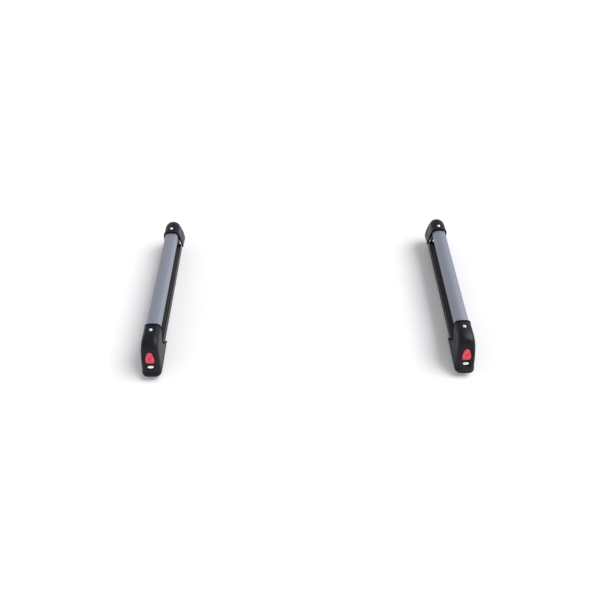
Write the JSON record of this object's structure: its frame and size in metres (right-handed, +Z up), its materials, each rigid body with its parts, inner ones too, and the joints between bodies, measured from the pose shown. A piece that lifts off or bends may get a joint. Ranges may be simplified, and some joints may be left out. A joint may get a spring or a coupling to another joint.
{
  "type": "roof ski rack",
  "caption": "Pair of hinged ski clamp bars for roof bars: domed grey upper profiles, black rubbers, rear hinge hoods and front lock housings with red release buttons.",
  "frame": {"origin": "centre of the pair's bounding box in plan, at the underside of the T-bolt heads", "axes": "+X across the pair, +Y towards the hinge hoods, +Z up, away from the roof bars; the lock housings are at -Y"},
  "size_m": [0.9952, 0.585, 0.1081],
  "materials": {
    "profile_grey": "satin blue-grey coating",
    "profile_black": "satin black coating",
    "rubber": "matte",
    "black_plastic": "finely textured",
    "red_plastic": "satin gloss",
    "chrome": "polished",
    "steel": "zinc plated"
  },
  "bodies": {
    "base": {"left_lower_profile": "profile_black", "left_lower_pad": "rubber", "left_rear_base": "black_plastic", "left_hinge_pin": "steel", "left_front_base": "black_plastic", "right_lower_profile": "profile_black", "right_lower_pad": "rubber", "right_rear_base": "black_plastic", "right_hinge_pin": "steel", "right_front_base": "black_plastic"},
    "left_arm": {"left_upper_profile": "profile_grey", "left_upper_pad": "rubber", "left_rear_pivot": "black_plastic", "left_rear_hood": "black_plastic", "left_rear_rivet": "chrome", "left_lock_housing": "black_plastic", "left_front_rivet": "chrome", "left_pawl_pin": "steel", "left_button_spring": "steel"},
    "left_button": {"left_release_button": "red_plastic"},
    "left_catch": {"left_latch_pawl": "steel"},
    "left_lock": {"left_lock_cylinder": "chrome"},
    "left_front_foot": {"left_front_t_bolt": "steel", "left_front_saddle": "rubber", "left_front_channel_nut": "steel"},
    "left_rear_foot": {"left_rear_t_bolt": "steel", "left_rear_saddle": "rubber", "left_rear_channel_nut": "steel"},
    "right_arm": {"right_upper_profile": "profile_grey", "right_upper_pad": "rubber", "right_rear_pivot": "black_plastic", "right_rear_hood": "black_plastic", "right_rear_rivet": "chrome", "right_lock_housing": "black_plastic", "right_front_rivet": "chrome", "right_pawl_pin": "steel", "right_button_spring": "steel"},
    "right_button": {"right_release_button": "red_plastic"},
    "right_catch": {"right_latch_pawl": "steel"},
    "right_lock": {"right_lock_cylinder": "chrome"},
    "right_front_foot": {"right_front_t_bolt": "steel", "right_front_saddle": "rubber", "right_front_channel_nut": "steel"},
    "right_rear_foot": {"right_rear_t_bolt": "steel", "right_rear_saddle": "rubber", "right_rear_channel_nut": "steel"}
  },
  "joints": [
    {"name": "left_arm_hinge", "type": "hinge", "parent": "base", "child": "left_arm", "pos_m": [-0.465, 0.258, 0.045], "axis": [-1, 0, 0], "range_deg": [0, 75]},
    {"name": "left_button_press", "type": "slide", "parent": "left_arm", "child": "left_button", "axis": [0, 0.8387, -0.5446], "range_m": [0, 0.0035], "stiffness_N_per_m": 800, "deforming": ["left_button_spring"]},
    {"name": "left_catch_swing", "type": "hinge", "parent": "left_arm", "child": "left_catch", "pos_m": [-0.465, -0.25399, 0.04422], "axis": [-1, 0, 0], "range_deg": [0, 17]},
    {"name": "left_lock_turn", "type": "hinge", "parent": "left_arm", "child": "left_lock", "pos_m": [-0.465, -0.27544, 0.04241], "axis": [0, -0.8387, 0.5446], "range_deg": [0, 90]},
    {"name": "left_front_foot_slide", "type": "slide", "parent": "base", "child": "left_front_foot", "axis": [0, 1, 0], "range_m": [-0.035, 0.035]},
    {"name": "left_rear_foot_slide", "type": "slide", "parent": "base", "child": "left_rear_foot", "axis": [0, 1, 0], "range_m": [-0.035, 0.035]},
    {"name": "right_arm_hinge", "type": "hinge", "parent": "base", "child": "right_arm", "pos_m": [0.465, 0.258, 0.045], "axis": [-1, 0, 0], "range_deg": [0, 75]},
    {"name": "right_button_press", "type": "slide", "parent": "right_arm", "child": "right_button", "axis": [0, 0.8387, -0.5446], "range_m": [0, 0.0035], "stiffness_N_per_m": 800, "deforming": ["right_button_spring"]},
    {"name": "right_catch_swing", "type": "hinge", "parent": "right_arm", "child": "right_catch", "pos_m": [0.465, -0.25399, 0.04422], "axis": [-1, 0, 0], "range_deg": [0, 17]},
    {"name": "right_lock_turn", "type": "hinge", "parent": "right_arm", "child": "right_lock", "pos_m": [0.465, -0.27544, 0.04241], "axis": [0, -0.8387, 0.5446], "range_deg": [0, 90]},
    {"name": "right_front_foot_slide", "type": "slide", "parent": "base", "child": "right_front_foot", "axis": [0, 1, 0], "range_m": [-0.035, 0.035]},
    {"name": "right_rear_foot_slide", "type": "slide", "parent": "base", "child": "right_rear_foot", "axis": [0, 1, 0], "range_m": [-0.035, 0.035]}
  ],
  "couplings": [
    {"joint": "left_catch_swing", "follows": "left_button_press", "rad_per_m": 83},
    {"joint": "right_catch_swing", "follows": "right_button_press", "rad_per_m": 83}
  ]
}
